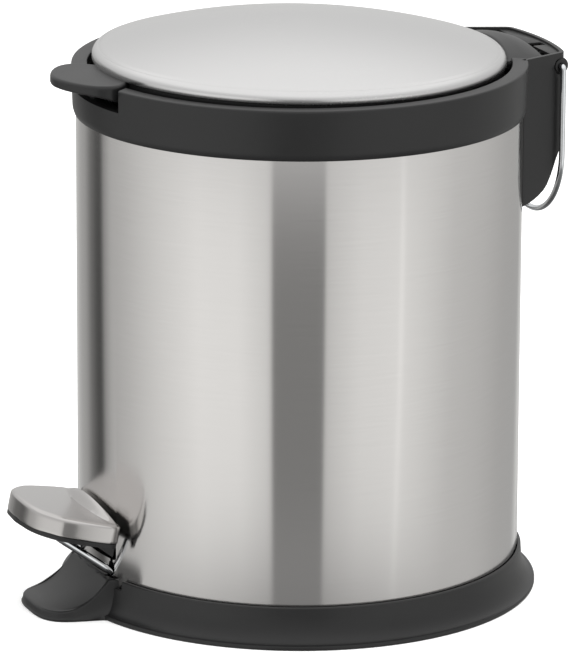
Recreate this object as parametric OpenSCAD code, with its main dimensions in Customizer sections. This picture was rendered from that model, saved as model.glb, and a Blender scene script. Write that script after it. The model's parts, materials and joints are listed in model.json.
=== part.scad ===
// Small round pedal trash can: steel body and domed lid on plastic mouldings, wire lever, inner bucket.
// Millimetres. Z is up, the can stands on z = 0, its body axis is the Z axis and the pedal faces -Y.

/* [Body] */
// Outer diameter of the steel body
body_d = 205; // [200:1:210]
// Thickness of the steel sheet
sheet_t = 0.6; // [0.4:0.1:0.8]
// Height of the top face of the rim collar
rim_top = 247.2; // [240:0.1:260]
// Height of the rim collar's outer band
collar_h = 22.9; // [20:0.1:26]
// Radius of the collar's mouth
mouth_r = 97; // [96.5:0.1:97.5]

/* [Base] */
// Radius of the base at the floor
base_r = 110.9; // [108:0.1:114]
// Height of the base's lip round the body
lip_h = 18.1; // [17:0.1:20]
// Reach of the foot from the body's axis
foot_reach = 136; // [130:1:142]
// Half the width of the foot
foot_half_w = 26.5; // [24:0.5:30]

/* [Pedal and lever] */
// Half the distance between the two lever wires
wire_x = 19.5; // [18:0.5:20]
// Radius of the lever wire
wire_r = 1.75; // [1.5:0.05:2]
// Half the width of the pedal
pedal_half_w = 33.5; // [30:0.5:35]

/* [Lid] */
// Radius of the steel dome's edge
dome_r = 94.8; // [94.2:0.1:95]
// Radius of the dome's crown
crown_r = 320; // [280:5:420]
// Radius of the dome's shoulder
shoulder_r = 5.7; // [5:0.1:8]
// Angle at which the closed lid rests above level, in degrees
lid_rest = 0.78; // [0.5:0.01:1]
// Distance of the hinge behind the body's axis
hinge_y = 117.5; // [117:0.1:118]
// Height of the hinge
hinge_z = 241; // [240.5:0.1:241.5]

/* [Rear handle] */
// Radius of the handle wire
bail_r = 1.4; // [1.2:0.1:1.6]
// Half the width between the handle's legs
bail_x = 33.3; // [33:0.1:35]
// Distance from the handle's pivot to the middle of its bottom bend
bail_drop = 73.6; // [60:0.1:80]

/* [Bucket] */
// Radius of the bucket's wall under its rim
bucket_r = 92; // [88:0.5:92]
// Radius of the bucket's bottom
bucket_foot_r = 84; // [78:0.5:86]
// Height of the bucket's underside above the floor
bucket_z = 43; // [43:0.5:60]
// Thickness of the bucket's wall
bucket_t = 1.5; // [1:0.1:2.5]

/* [Hidden] */
$fn = 96;
eps = 0.01;
body_r = body_d / 2;
body_in = body_r - sheet_t;
body_z0 = 13;
body_z1 = 236.6;
collar_z = rim_top - collar_h;
collar_r = body_r + 2;
// Floor of the base, whose outer ring stands on z = 0, and the rubber feet inside that ring
floor_z = 5.5;
floor_t = 2.5;
pad_r = 8;
pad_h = 1.5;
pad_seat = 0.6;
pad_ring_r = 86;
// Upstand that holds the body from inside
up_out = body_in - 0.3;
up_in = up_out - 2.7;
up_z = 25;
// Front openings of the body
window_half = 23.3;
window_z0 = 25.8;
window_z1 = 44;
slot_half = 2.5;
slot_z0 = 17.8;
slot_z1 = 22.6;
neck_half = 1.1;
// Lever
pivot_y = -92;
pivot_z = 13.8;
axle_r = 2;
axle_half = 29.5;
wire_slope = 36.3;
run_z = 8.6;
run_y0 = pivot_y + (pivot_z - run_z) / tan(wire_slope);
// Half of the bow inside the pedal: where the straight wire ends, and two bends further on
bow_y = -126;
bow = [[wire_x, bow_y, pivot_z + (pivot_y - bow_y) * tan(wire_slope)], [16, -130.5, 43.2], [10, -134.3, 45.3]];
bar_y = 93;
rod_y = 99.5;
rod_r = 1.3;
// Pedal: its lower edge lies in a plane that rises towards the tip
pedal_y = -120;
pedal_z = 40.5;
pedal_tilt = 12;
pedal_h = 9;
pedal_t = 0.8;
pedal_back_r = 106.2;
// Lid crank: the rod's hook stands this far in front of the hinge and moves straight up
crank_y = hinge_y - rod_y;
crank_a = 42;
crank_slot_a = 42.7;
hook_z = hinge_z - crank_y * tan(crank_a);
hinge_r = 3.2;
hinge_half = 19.5;
pin_r = 1.6;
pin_half = 25;
pin_gap = 0.08;
bush_r = 4;
// Hinge housing
house_r = 123.5;
house_t = 2;
house_corner = [25.9, 115.6];
house_corner_r = 5;
house_taper = 0.398;
house_half = 37.5;
house_half_y = 99.4;
house_drop_z = 207.5;
house_sweep = 31.2;
// Lid heights in the lid's own level frame
dome_z = 247.5;
dome_edge = 2;
frame_r = 93.7;
frame_z0 = 240.5;
frame_z1 = dome_z - dome_edge;
tab_top = 245.8;
tab_t = 4.6;
tab_shoulder = [12.5, -104, 13.2];
tab_tip = [0, -99, 21];
notch_slope = 0.883;
notch_y = 89.8;
notch_half = 20;
notch_z = 237;

// ---- shared shapes ----

// Ring round the Z axis, between two radii and two heights
module ring(r_out, r_in, z0, z1) {
    translate([0, 0, z0]) difference() {
        cylinder(r = r_out, h = z1 - z0);
        translate([0, 0, -1]) cylinder(r = r_in, h = z1 - z0 + 2);
    }
}

// Round bar along X, centred on x = 0 unless from and to are given
module bar_x(r, x0, x1) {
    translate([x0, 0, 0]) rotate([0, 90, 0]) cylinder(r = r, h = x1 - x0);
}

// Points of a closed route with each corner rounded off
function rounded(pts, cut, steps = 5) = [for (i = [0 : len(pts) - 1])
    let (p = pts[i], a = pts[(i + len(pts) - 1) % len(pts)] - p, b = pts[(i + 1) % len(pts)] - p,
        q = p + a * cut / norm(a), r = p + b * cut / norm(b))
    for (k = [0 : steps]) let (t = k / steps) q * (1 - t) * (1 - t) + p * 2 * t * (1 - t) + r * t * t];

function unit(v) = v / norm(v);

// Closed loop of round wire along a route that never runs straight up
module wire_loop(pts, r, sides = 12) {
    n = len(pts);
    rings = [for (i = [0 : n - 1])
        let (t = unit(pts[(i + 1) % n] - pts[(i + n - 1) % n]), u = unit(cross(t, [0, 0, 1])), v = cross(u, t))
        for (k = [0 : sides - 1]) pts[i] + r * (u * cos(360 * k / sides) + v * sin(360 * k / sides))];
    faces = [for (i = [0 : n - 1]) for (k = [0 : sides - 1])
        let (a = i * sides, b = ((i + 1) % n) * sides, m = (k + 1) % sides) [a + k, b + k, b + m, a + m]];
    polyhedron(rings, faces, convexity = 6);
}

// Countersunk screw, head up, with its head's top at the origin
module screw(head_r, shank_r, length) {
    cylinder(r1 = head_r * 0.85, r2 = head_r, h = 0.8, $fn = 32);
    translate([0, 0, 0.8]) difference() {
        cylinder(r = head_r, h = 1, $fn = 32);
        translate([-head_r * 0.7, -0.3, 0.4]) cube([head_r * 1.4, 0.6, 2]);
        translate([-0.3, -head_r * 0.7, 0.4]) cube([0.6, head_r * 1.4, 2]);
    }
    translate([0, 0, -length]) cylinder(r = shank_r, h = length + eps, $fn = 32);
}

// Places its children in the closed lid, which rests a little above level on its hinge
module in_lid() {
    translate([0, hinge_y, hinge_z]) rotate([-lid_rest, 0, 0]) translate([0, -hinge_y, -hinge_z]) children();
}

// ---- base ----

// Outer outline of the base: a concave flare from the lip down to the floor
function flare(n = 8) = [for (i = [0 : n]) let (a = 90 * i / n)
    [base_r - 0.2 - (base_r - body_r - 1.9) * sin(a), 2 + (lip_h - 3.2) * (1 - cos(a))]];

module base_profile() {
    polygon(concat(
        [[0, floor_z - floor_t], [up_in - 2, floor_z - floor_t], [up_in - 1, 0], [base_r, 0]],
        flare(),
        [[body_r + 1.2, lip_h], [body_r + 0.3, lip_h], [body_r + 0.3, body_z0], [up_out, body_z0],
         [up_out, up_z], [up_in, up_z], [up_in, floor_z], [0, floor_z]]));
}

// Foot: straight sides, a rounded tip and a top that sweeps down from the lip
module foot_plan() {
    corner = 12;
    translate([-foot_half_w, -foot_reach + corner]) square([2 * foot_half_w, foot_reach - corner]);
    translate([-foot_half_w + corner, -foot_reach]) square([2 * (foot_half_w - corner), foot_reach]);
    for (s = [-1, 1]) translate([s * (foot_half_w - corner), -foot_reach + corner]) circle(r = corner);
}

module foot() {
    sweep_r = 28.6;
    tip_h = 4.4;
    difference() {
        linear_extrude(height = lip_h - 0.3) foot_plan();
        translate([0, -foot_reach + 8, tip_h + sweep_r]) bar_x(sweep_r, -60, 60);
        translate([-60, -foot_reach - 2, tip_h]) cube([120, 10, 30]);
        translate([0, 0, -1]) cylinder(r = body_r + 0.6, h = 40);
        translate([0, 0, -1]) linear_extrude(height = floor_z - floor_t + 1)
            intersection() {
                translate([0, 6]) foot_plan();
                translate([-foot_half_w + 4, -150]) square([2 * foot_half_w - 8, 100]);
            }
    }
}

module base() color([0.17, 0.17, 0.17]) {
    difference() {
        union() {
            rotate_extrude($fn = 180) base_profile();
            foot();
        }
        for (s = [-1, 1]) {
            // Grooves for the lever wires in the lip and the upstand
            translate([s * wire_x - 2.6, -body_r - 3, 16.2]) cube([5.2, 16, 30]);
            translate([s * wire_x - 2.6, -up_out - 0.2, floor_z + 0.6]) cube([5.2, 16, 30]);
            // Room for the axle caps in the upstand
            translate([s * 25.5 - 4.9, -up_out - 0.2, pivot_z - 0.2]) cube([9.8, 12, 30]);
            cap_screw_places(s) translate([0, 0, -8]) cylinder(r = 1.05, h = 9, $fn = 32);
        }
        // Gap in the upstand for the push rod
        translate([-9, up_in - 4, floor_z + 0.3]) cube([18, 7.4, 30]);
    }
    difference() {
        pad_places(pad_seat + 0.3) cylinder(r = pad_r + 2, h = floor_z - floor_t - pad_seat);
        pad_places(-1) cylinder(r = pad_r + 0.1, h = pad_h + 1);
    }
    for (s = [-1, 1]) axle_saddle(s);
}

module pad_places(z) {
    for (a = [45 : 90 : 315]) rotate([0, 0, a]) translate([pad_ring_r, 0, z]) children();
}

// Post that carries one end of the lever's axle, with the screw bosses beside it
module axle_saddle(s) {
    difference() {
        translate([s * 26 - 3, pivot_y - 4.2, floor_z - 0.5]) cube([6, 21, pivot_z - floor_z + 0.5]);
        translate([0, pivot_y, pivot_z]) bar_x(axle_r + 0.05, -40, 40);
        translate([s * 26 - 4, pivot_y + 5, floor_z + 3]) cube([8, 4, 20]);
        cap_screw_places(s) translate([0, 0, -8]) cylinder(r = 1.05, h = 9, $fn = 32);
    }
}

module cap_screw_places(s) {
    translate([s * 26, pivot_y + 12.8, pivot_z]) children();
}

module rubber_feet() color([0.1, 0.1, 0.1]) pad_places(0) cylinder(r = pad_r, h = pad_h);

// Cap that holds the axle down on its saddle
module axle_cap(s) {
    difference() {
        translate([s * 26 - 3, pivot_y - 4.2, pivot_z + 0.05]) cube([6, 21, 3.8]);
        translate([0, pivot_y, pivot_z]) bar_x(axle_r + 0.05, -40, 40);
        cap_screw_places(s) translate([0, 0, -1]) cylinder(r = 1.3, h = 9, $fn = 32);
    }
}

module axle_cap_left() color([0.2, 0.2, 0.2]) axle_cap(-1);
module axle_cap_right() color([0.2, 0.2, 0.2]) axle_cap(1);

module cap_screws() color("silver")
    for (s = [-1, 1]) cap_screw_places(s) translate([0, 0, 3.87]) screw(2.4, 1, 9);

// ---- body ----

module body_shell() color([0.78, 0.77, 0.76]) difference() {
    ring(body_r, body_in, body_z0, body_z1, $fn = 180);
    // Window behind the pedal, and the keyholes of the lever wires below it
    translate([-window_half, -body_r - 4, window_z0]) cube([2 * window_half, 20, window_z1 - window_z0]);
    for (s = [-1, 1]) {
        translate([s * wire_x - neck_half, -body_r - 4, slot_z1]) cube([2 * neck_half, 12, 5]);
        translate([s * wire_x - slot_half, -body_r - 4, slot_z0])
            cube([2 * slot_half, 12, slot_z1 - slot_z0]);
        for (z = [slot_z0, slot_z1]) translate([s * wire_x, -body_r + 8, z])
            rotate([90, 0, 0]) cylinder(r = slot_half, h = 12, $fn = 32);
    }
    // Rear notch for the lid's crank
    translate([-16, 90, 205]) cube([32, 20, 60]);
    housing_screw_places() translate([0, 0, -6]) cylinder(r = 1.8, h = 12, $fn = 32);
}

// ---- rim collar with its hinge housing ----

module collar_profile() {
    polygon([[body_r + 0.2, collar_z], [body_r + 0.8, collar_z], [collar_r - 0.4, collar_z + 2.2],
        [collar_r, rim_top - 1], [collar_r - 0.6, rim_top],
        [mouth_r + 0.8, rim_top], [mouth_r, rim_top - 0.8],
        [mouth_r, 233.2], [93.6, 233.2], [93.6, 230.2], [mouth_r, 229.2], [mouth_r, 222],
        [98.6, 222], [98.6, 228], [body_in - 0.2, 228], [body_in - 0.2, body_z1 + 0.2],
        [body_r + 0.2, body_z1 + 0.2]]);
}

function house_w(y, inset) = house_half - house_taper * (y - house_half_y) - inset * 1.076;

// Plan of the hinge housing: tapering sides, rounded corners and a rear wall round the body's axis
module house_plan(inset) {
    n = [0.929, 0.370];
    cr = house_corner_r - inset;
    c = house_corner;
    t = c + n * cr;
    polygon([[-house_w(88, inset), 88], [house_w(88, inset), 88], t, c, [-c[0], c[1]], [-t[0], t[1]]]);
    for (s = [-1, 1]) translate([s * c[0], c[1]]) circle(r = cr);
    intersection() {
        circle(r = house_r - inset, $fn = 180);
        polygon([[-c[0] * 0.8, c[1] * 0.8], [c[0] * 0.8, c[1] * 0.8], c * 1.2, [-c[0] * 1.2, c[1] * 1.2]]);
    }
}

// Solid of the housing: its plan, cut off below by a curve that sweeps in to the body
module house_solid(inset, z_top) {
    intersection() {
        translate([0, 0, 170]) linear_extrude(height = z_top - 170) house_plan(inset);
        rotate_extrude($fn = 180) {
            translate([0, house_drop_z]) square([house_r - inset, 60]);
            square_x = house_r - house_sweep;
            translate([0, house_drop_z - house_sweep + inset]) square([square_x, house_sweep]);
            intersection() {
                translate([square_x, house_drop_z]) circle(r = house_sweep - inset);
                translate([square_x - 1, house_drop_z - house_sweep - 2]) square([60, house_sweep + 4]);
            }
        }
    }
}

module housing_screw_places() {
    for (s = [-1, 1]) translate([s * 22, sqrt(body_in * body_in - 22 * 22) - 0.8, 198])
        rotate([-90, 0, 0]) children();
}

module collar_body() {
    difference() {
        union() {
            rotate_extrude($fn = 180) collar_profile();
            difference() {
                house_solid(0, rim_top);
                translate([0, 0, 160]) cylinder(r = body_r + 0.2, h = 100, $fn = 180);
            }
        }
        // Inside of the housing, open at the top
        difference() {
            house_solid(house_t, rim_top + 5);
            translate([0, 0, 160]) cylinder(r = collar_r - 0.9, h = 79, $fn = 180);
        }
        // The lid's tail and crank pass over the rear of the ring
        translate([-16, 92, 215]) cube([32, 16, 40]);
        // Notch under the lid's tab
        translate([0, 0, notch_z]) linear_extrude(height = 20)
            polygon([for (p = [[-1, 84], [-1, 112], [1, 112], [1, 84]])
                [p[0] * (notch_half + (p[1] - notch_y) * notch_slope), -p[1]]]);
        translate([0, hinge_y, hinge_z]) {
            for (s = [-1, 1]) bar_x(bush_r, s > 0 ? 26 : -40, s > 0 ? 40 : -26);
            bar_x(pin_r, -pin_half, pin_half);
            // Pocket for the lid's hinge barrels
            bar_x(hinge_r + 0.3, -hinge_half - 0.4, hinge_half + 0.4);
        }
    }
    difference() {
        union() {
            // Webs that hold the hinge pin
            for (s = [-1, 1]) intersection() {
                house_solid(house_t - 0.2, rim_top);
                translate([s * 23.7 - 1.2, 0, 0]) union() {
                    translate([0, hinge_y - 3.4, 185]) cube([2.4, 12, hinge_z - 185]);
                    translate([0, hinge_y, hinge_z]) bar_x(3.4, 0, 2.4);
                }
            }
            // Bosses of the housing's screws
            intersection() {
                house_solid(0.5, rim_top);
                difference() {
                    housing_screw_places() translate([0, 0, 1]) cylinder(r = 3.6, h = 20, $fn = 48);
                    translate([0, 0, 160]) cylinder(r = body_r + 0.2, h = 100, $fn = 180);
                }
            }
            // Shelf that guides the push rod
            intersection() {
                translate([-12, rod_y - 3.1, 207]) cube([24, 26, 2.4]);
                house_solid(house_t - 0.2, rim_top);
            }
        }
        translate([0, rod_y, 200]) cylinder(r = rod_r + 0.08, h = 20, $fn = 32);
        translate([0, hinge_y, hinge_z]) bar_x(pin_r, -pin_half, pin_half);
    }
}

module rim_collar() color([0.2, 0.2, 0.2]) difference() {
    collar_body();
    housing_screw_places() translate([0, 0, -2]) cylinder(r = 1.35, h = 12.5, $fn = 32);
}

module housing_screws() color("silver")
    housing_screw_places() mirror([0, 0, 1]) screw(2.9, 1.35, 8);

// Bushes in the housing's sides, in which the handle turns
module bail_bushes() color([0.12, 0.12, 0.12])
    for (s = [-1, 1]) translate([0, hinge_y, hinge_z]) difference() {
        bar_x(bush_r, s > 0 ? 27 : -31.6, s > 0 ? 31.6 : -27);
        bar_x(bail_r + pin_gap, -40, 40);
    }

module hinge_pin() color("silver")
    translate([0, hinge_y, hinge_z]) bar_x(pin_r, -pin_half, pin_half);

module rear_bail() color([0.85, 0.85, 0.86]) translate([0, hinge_y, hinge_z]) {
    leg = bail_drop - bail_x;
    for (s = [-1, 1]) {
        bar_x(bail_r, s > 0 ? 28 : -bail_x, s > 0 ? bail_x : -28);
        translate([s * bail_x, 0, 0]) sphere(r = bail_r, $fn = 32);
        translate([s * bail_x, 0, -leg]) cylinder(r = bail_r, h = leg, $fn = 32);
    }
    translate([0, 0, -leg]) rotate([90, 0, 0]) rotate_extrude(angle = 180, start = 180, $fn = 96)
        translate([bail_x, 0]) circle(r = bail_r, $fn = 32);
}

// ---- bucket ----

module bucket() color([0.25, 0.25, 0.26]) difference() {
    union() {
        rotate_extrude($fn = 180) polygon([[0, bucket_z], [bucket_foot_r, bucket_z], [bucket_r, 231],
            [bucket_r + 0.3, 233.5], [95.8, 233.5], [95.8, 235.4], [95.2, 235.4], [bucket_r - bucket_t, 234],
            [bucket_foot_r - bucket_t, bucket_z + bucket_t], [0, bucket_z + bucket_t]]);
        for (s = [-1, 1]) translate([s * (bucket_r - 1.6) - 2, -6, 222]) cube([4, 12, 11]);
    }
    for (s = [-1, 1]) translate([0, 0, 228]) bar_x(1.7, s > 0 ? 84 : -96, s > 0 ? 96 : -84);
    // Notch in the rear of the rim that the lid's crank swings through
    translate([-10, 80, 221]) cube([20, 20, 20]);
}

// Wire handle of the bucket, folded down inside its front wall
module bucket_bail() color([0.8, 0.8, 0.8]) {
    fold = 8;
    translate([0, 0, 228]) {
        for (s = [-1, 1]) bar_x(1.5, s > 0 ? 86 : -91.5, s > 0 ? 91.5 : -86);
        rotate([fold, 0, 0]) rotate_extrude(angle = 180, start = 180, $fn = 120)
            translate([86, 0]) circle(r = 1.5, $fn = 24);
    }
}

// ---- pedal and lever ----

// Lever: one closed loop of wire, from the cross bar under the rod to the bow inside the pedal
module pedal_lever() color([0.82, 0.82, 0.83]) {
    half = concat([[wire_x, bar_y, run_z], [wire_x, run_y0, run_z]], bow);
    n = len(half);
    other = [for (i = [1 : n]) let (p = half[n - i]) [-p[0], p[1], p[2]]];
    wire_loop(rounded(concat(half, other), 3), wire_r);
}

// Axle welded under the lever's wires
module lever_axle() color([0.75, 0.75, 0.76])
    translate([0, pivot_y, pivot_z]) bar_x(axle_r, -axle_half, axle_half);

// Places its children in the pedal's frame: z = 0 is its lower edge, -Y points to its tip
module in_pedal() {
    translate([0, pedal_y, pedal_z]) rotate([-pedal_tilt, 0, 0]) children();
}

// Plan of the pedal: a rounded nose that widens to two back corners, hollowed to follow the body
module pedal_plan(inset) {
    difference() {
        hull() {
            translate([0, 5]) circle(r = 25 - inset, $fn = 64);
            for (s = [-1, 1]) {
                translate([s * 9.3, 3.2]) circle(r = 22.2 - inset, $fn = 64);
                translate([s * 14, 5]) circle(r = 18.5 - inset, $fn = 64);
                translate([s * (pedal_half_w - 4.3), 14]) circle(r = 4 - inset, $fn = 32);
            }
        }
        translate([0, -pedal_y]) circle(r = pedal_back_r + inset, $fn = 180);
    }
}

// Top of the pedal: level, with a steep lip along the back edge, highest in the middle
module pedal_block(inset, top) {
    lip_z = 5.2;
    arch_r = 85;
    linear_extrude(height = top) pedal_plan(inset);
    intersection() {
        translate([0, 0, top - eps]) linear_extrude(height = lip_z) pedal_plan(inset + 0.3);
        translate([0, -pedal_y, top - 0.2])
            cylinder(r1 = 110 - inset, r2 = 108 - inset, h = lip_z + 0.2, $fn = 180);
        translate([0, 0, top + lip_z - arch_r]) rotate([-90, 0, 0]) cylinder(r = arch_r, h = 30, $fn = 360);
    }
}

module pedal_cap() color([0.74, 0.73, 0.72]) in_pedal() difference() {
    pedal_block(0, pedal_h - pedal_t + 0.8);
    translate([0, 0, -eps]) pedal_block(pedal_t, pedal_h - pedal_t);
}

module pedal_shell() color([0.12, 0.12, 0.12]) difference() {
    union() {
        in_pedal() {
            translate([0, 0, -2]) linear_extrude(height = 1.95) pedal_plan(-0.3);
            difference() {
                translate([0, 0, -0.1]) linear_extrude(height = 6.5) pedal_plan(pedal_t + 0.15);
                translate([0, 0, 1.5]) linear_extrude(height = 6.5) pedal_plan(pedal_t + 2.2);
            }
            // Cheeks at the sides, deepest next to the body
            for (s = [-1, 1]) translate([s * (pedal_half_w - 3.7) - 1.2, 0, 0]) rotate([90, 0, 90])
                linear_extrude(height = 2.4) polygon([[6.8, -1.4], [17.3, -1.4], [17.3, -6.5]]);
        }
        pedal_screw_places() cylinder(r = 3, h = 5.5, $fn = 48);
    }
    // Channels of the two wires, and room for the bow inside the rim
    for (m = [0, 1]) mirror([m, 0, 0]) {
        channel([wire_x, pivot_y, pivot_z], bow[0], 2);
        channel(bow[0], bow[1], 3);
    }
    in_pedal() translate([-24, -30, 0.01]) cube([48, 29.4, 10]);
    pedal_screw_places() translate([0, 0, -1]) cylinder(r = 1, h = 12, $fn = 32);
}

// Round hole for the lever's wire from one point to another, longer by more at each end
module channel(p, q, more) {
    d = q - p;
    translate(p) rotate([0, acos(d[2] / norm(d)), atan2(d[1], d[0])])
        translate([0, 0, -more]) cylinder(r = wire_r + 0.55, h = norm(d) + 2 * more, $fn = 32);
}

module pedal_screw_places() {
    in_pedal() for (s = [-1, 1]) translate([s * 10, 3, -2.01]) children();
}

module pedal_screws() color("silver")
    pedal_screw_places() mirror([0, 0, 1]) screw(2.1, 1, 4.5);

module push_rod() color("silver") {
    translate([0, rod_y, run_z - 2]) cylinder(r = rod_r, h = hook_z - run_z + 2, $fn = 32);
    translate([0, rod_y, hook_z]) {
        sphere(r = rod_r, $fn = 32);
        bar_x(rod_r, 0, 11);
    }
}

// Shoe at the rod's foot: the lever's cross bar slides in its slot
module rod_clip() color([0.15, 0.15, 0.15]) difference() {
    translate([-5, bar_y - 5.4, run_z - 2.6]) cube([10, rod_y - bar_y + 7.2, 6.2]);
    translate([-6, bar_y - 4.2, run_z - 2.0]) cube([12, 6.4, 4]);
    translate([0, rod_y, run_z - 2]) cylinder(r = rod_r, h = 10, $fn = 32);
}

// ---- lid ----

// Outline of the dome from the middle of its crown, round its shoulder and down its edge
function dome_line(inset) =
    let (c = dome_r - shoulder_r, tilt = acos(c / (crown_r - shoulder_r)),
        drop = (crown_r - shoulder_r) * sin(tilt))
    concat([for (i = [0 : 24]) let (a = 90 - (90 - tilt) * i / 24)
            [(crown_r - inset) * cos(a), dome_z - drop + (crown_r - inset) * sin(a)]],
        [for (i = [1 : 10]) let (a = tilt * (1 - i / 10))
            [c + (shoulder_r - inset) * cos(a), dome_z + (shoulder_r - inset) * sin(a)]],
        [[dome_r - inset, dome_z - dome_edge]]);

module lid_cap() color([0.82, 0.81, 0.8]) in_lid() {
    inner = dome_line(sheet_t);
    n = len(inner);
    rotate_extrude($fn = 180) polygon(concat(dome_line(0), [for (i = [1 : n]) inner[n - i]]));
}

module tab_plan() {
    intersection() {
        union() {
            translate([tab_tip[0], tab_tip[1]]) circle(r = tab_tip[2], $fn = 96);
            for (s = [-1, 1]) translate([s * tab_shoulder[0], tab_shoulder[1]])
                circle(r = tab_shoulder[2], $fn = 96);
            translate([-19, tab_shoulder[1]]) square([38, 20]);
        }
        polygon([for (p = [[-1, 84], [-1, 125], [1, 125], [1, 84]])
            [p[0] * (notch_half - 1 + (p[1] - notch_y) * notch_slope), -p[1]]]);
    }
}

// Slotted crank that the push rod's hook lifts
module crank() {
    slot_half_w = 2.75;
    r0 = 18;
    r1 = 24.3;
    translate([3.2, hinge_y, hinge_z]) rotate([90, 0, 90]) rotate([0, 0, 180 + crank_slot_a])
        difference() {
            union() {
                translate([1, -4.6, 0]) cube([r1 - 1, 9.2, 4.6]);
                translate([r1, 0, 0]) cylinder(r = 4.9, h = 4.6, $fn = 64);
            }
            for (r = [r0, r1]) translate([r, 0, -1]) cylinder(r = slot_half_w, h = 7, $fn = 48);
            translate([r0, -slot_half_w, -1]) cube([r1 - r0, 2 * slot_half_w, 7]);
        }
}

// Tail that joins the lid's frame to its hinge, crowned across and falling to the rear
module tail() {
    crown = 112;
    y0 = 70;
    y1 = hinge_y - 6.8;
    gap = house_t + 0.9;
    // The rear corners are narrower, so that they clear the tapering walls on their way up
    w1 = house_w(y1 + 3.5, gap);
    intersection() {
        translate([0, 0, 236]) linear_extrude(height = 20)
            polygon([[-house_w(y0, gap), y0], [house_w(y0, gap), y0],
                [house_w(y1 - 6, gap), y1 - 6], [w1, y1], [-w1, y1], [-house_w(y1 - 6, gap), y1 - 6]]);
        translate([-50, 0, 0]) rotate([90, 0, 90]) linear_extrude(height = 100)
            polygon([[y0, 241.5], [y1, 241.5], [y1, 247.3], [108, 249], [102, 249.7], [y0, 249.9]]);
        translate([0, 0, 249.7 - crown]) rotate([-90, 0, 0]) cylinder(r = crown, h = 130, $fn = 360);
    }
}

module lid_frame() color([0.2, 0.2, 0.2]) {
    in_lid() {
        ring(frame_r, frame_r - 4, frame_z0, frame_z1 + 0.3, $fn = 180);
        difference() {
            union() {
                translate([0, 0, tab_top - tab_t]) linear_extrude(height = tab_t) tab_plan();
                translate([0, 0, 238]) linear_extrude(height = tab_top - 238.4) intersection() {
                    tab_plan();
                    circle(r = body_r + 0.8);
                }
                tail();
            }
            translate([0, 0, 200]) cylinder(r = frame_r - 2, h = 100, $fn = 180);
            translate([0, 0, frame_z1 - 0.2]) cylinder(r = dome_r + 0.3, h = 20, $fn = 240);
        }
        // Ledge of the inner plate, and spokes under the dome
        ring(frame_r - 3.9, frame_r - 7, frame_z0 + 1.4, frame_z0 + 3, $fn = 180);
        for (a = [0 : 60 : 300]) rotate([0, 0, a]) translate([20, -1, frame_z0 + 3.2])
            cube([frame_r - 23, 2, 5]);
        ring(22, 19, frame_z0 + 3.2, frame_z0 + 8.2);
    }
    // Hinge barrels, and the crank beside the middle one
    difference() {
        union() {
            for (x = [[-hinge_half, -10.5], [2.6, 8.4], [10.5, hinge_half]])
            translate([0, hinge_y, hinge_z]) {
                bar_x(hinge_r, x[0], x[1]);
                translate([x[0] + 0.4, -8, 0.2]) cube([x[1] - x[0] - 0.8, 8, 2.3]);
            }
            crank();
        }
        translate([0, hinge_y, hinge_z]) bar_x(pin_r + pin_gap, -40, 40);
    }
}

// Flat plate that closes the underside of the lid
module lid_liner() color([0.24, 0.24, 0.24]) in_lid()
    translate([0, 0, frame_z0 + 0.1]) cylinder(r = frame_r - 4.1, h = 1.2, $fn = 180);

// Stops on which the front of the closed lid rests, over the bucket's rim
module lid_bumpers() color([0.1, 0.1, 0.1]) in_lid()
    for (a = [-1, 1]) rotate([0, 0, -90 + 30 * a])
        translate([frame_r - 1.9, 0, 232.4]) cylinder(r = 1.8, h = frame_z0 - 232.4, $fn = 32);

base();
rubber_feet();
body_shell();
rim_collar();
axle_cap_left();
axle_cap_right();
cap_screws();
housing_screws();
bail_bushes();
hinge_pin();
bucket();
bucket_bail();
pedal_lever();
lever_axle();
pedal_cap();
pedal_shell();
pedal_screws();
push_rod();
rod_clip();
lid_frame();
lid_cap();
lid_liner();
lid_bumpers();
rear_bail();
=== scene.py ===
"""Visual model of a small pedal trash can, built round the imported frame.

Lengths are in millimetres, but the camera, the lights and the materials are in metres."""
import json
import math
import bpy
import bmesh
from mathutils import Matrix, Vector

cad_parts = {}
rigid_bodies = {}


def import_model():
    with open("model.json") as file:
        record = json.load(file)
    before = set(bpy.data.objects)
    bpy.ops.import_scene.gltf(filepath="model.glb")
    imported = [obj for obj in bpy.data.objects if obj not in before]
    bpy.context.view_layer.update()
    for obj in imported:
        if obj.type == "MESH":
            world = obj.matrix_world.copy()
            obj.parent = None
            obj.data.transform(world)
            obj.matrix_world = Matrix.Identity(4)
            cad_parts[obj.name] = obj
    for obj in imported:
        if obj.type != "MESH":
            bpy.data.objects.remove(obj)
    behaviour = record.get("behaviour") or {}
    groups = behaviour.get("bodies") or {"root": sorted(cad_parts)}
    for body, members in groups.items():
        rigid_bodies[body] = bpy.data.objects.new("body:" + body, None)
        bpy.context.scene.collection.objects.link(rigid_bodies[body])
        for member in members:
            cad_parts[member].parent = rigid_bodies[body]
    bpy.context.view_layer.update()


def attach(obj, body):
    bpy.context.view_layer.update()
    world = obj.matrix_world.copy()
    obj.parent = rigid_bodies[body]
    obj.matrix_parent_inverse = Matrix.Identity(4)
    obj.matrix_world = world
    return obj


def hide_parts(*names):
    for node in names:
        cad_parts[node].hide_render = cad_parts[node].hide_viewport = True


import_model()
MM = 0.001
TAU = 2 * math.pi

# Places that several pieces share
HINGE_Y, HINGE_Z = 117.5, 241.0  # the lid's pin, which is also the handle's axis
PIVOT_Y, PIVOT_Z = -92.0, 13.8  # the pedal lever's axle
WIRE_X = 19.5  # each of the lever's two wires from the middle
BODY_IN, BODY_R = 101.9, 102.5  # the steel tube, inside and outside
BODY_LOW, BODY_HIGH = 13.0, 236.6
RIM_TOP = 247.2
LID_REST = math.radians(0.78)  # how far the closed lid stands open at the front
PEDAL_TILT = math.radians(12)
PEDAL_ORIGIN = Vector((0, -120, 40.5))

# ---------------------------------------------------------------- camera

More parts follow.
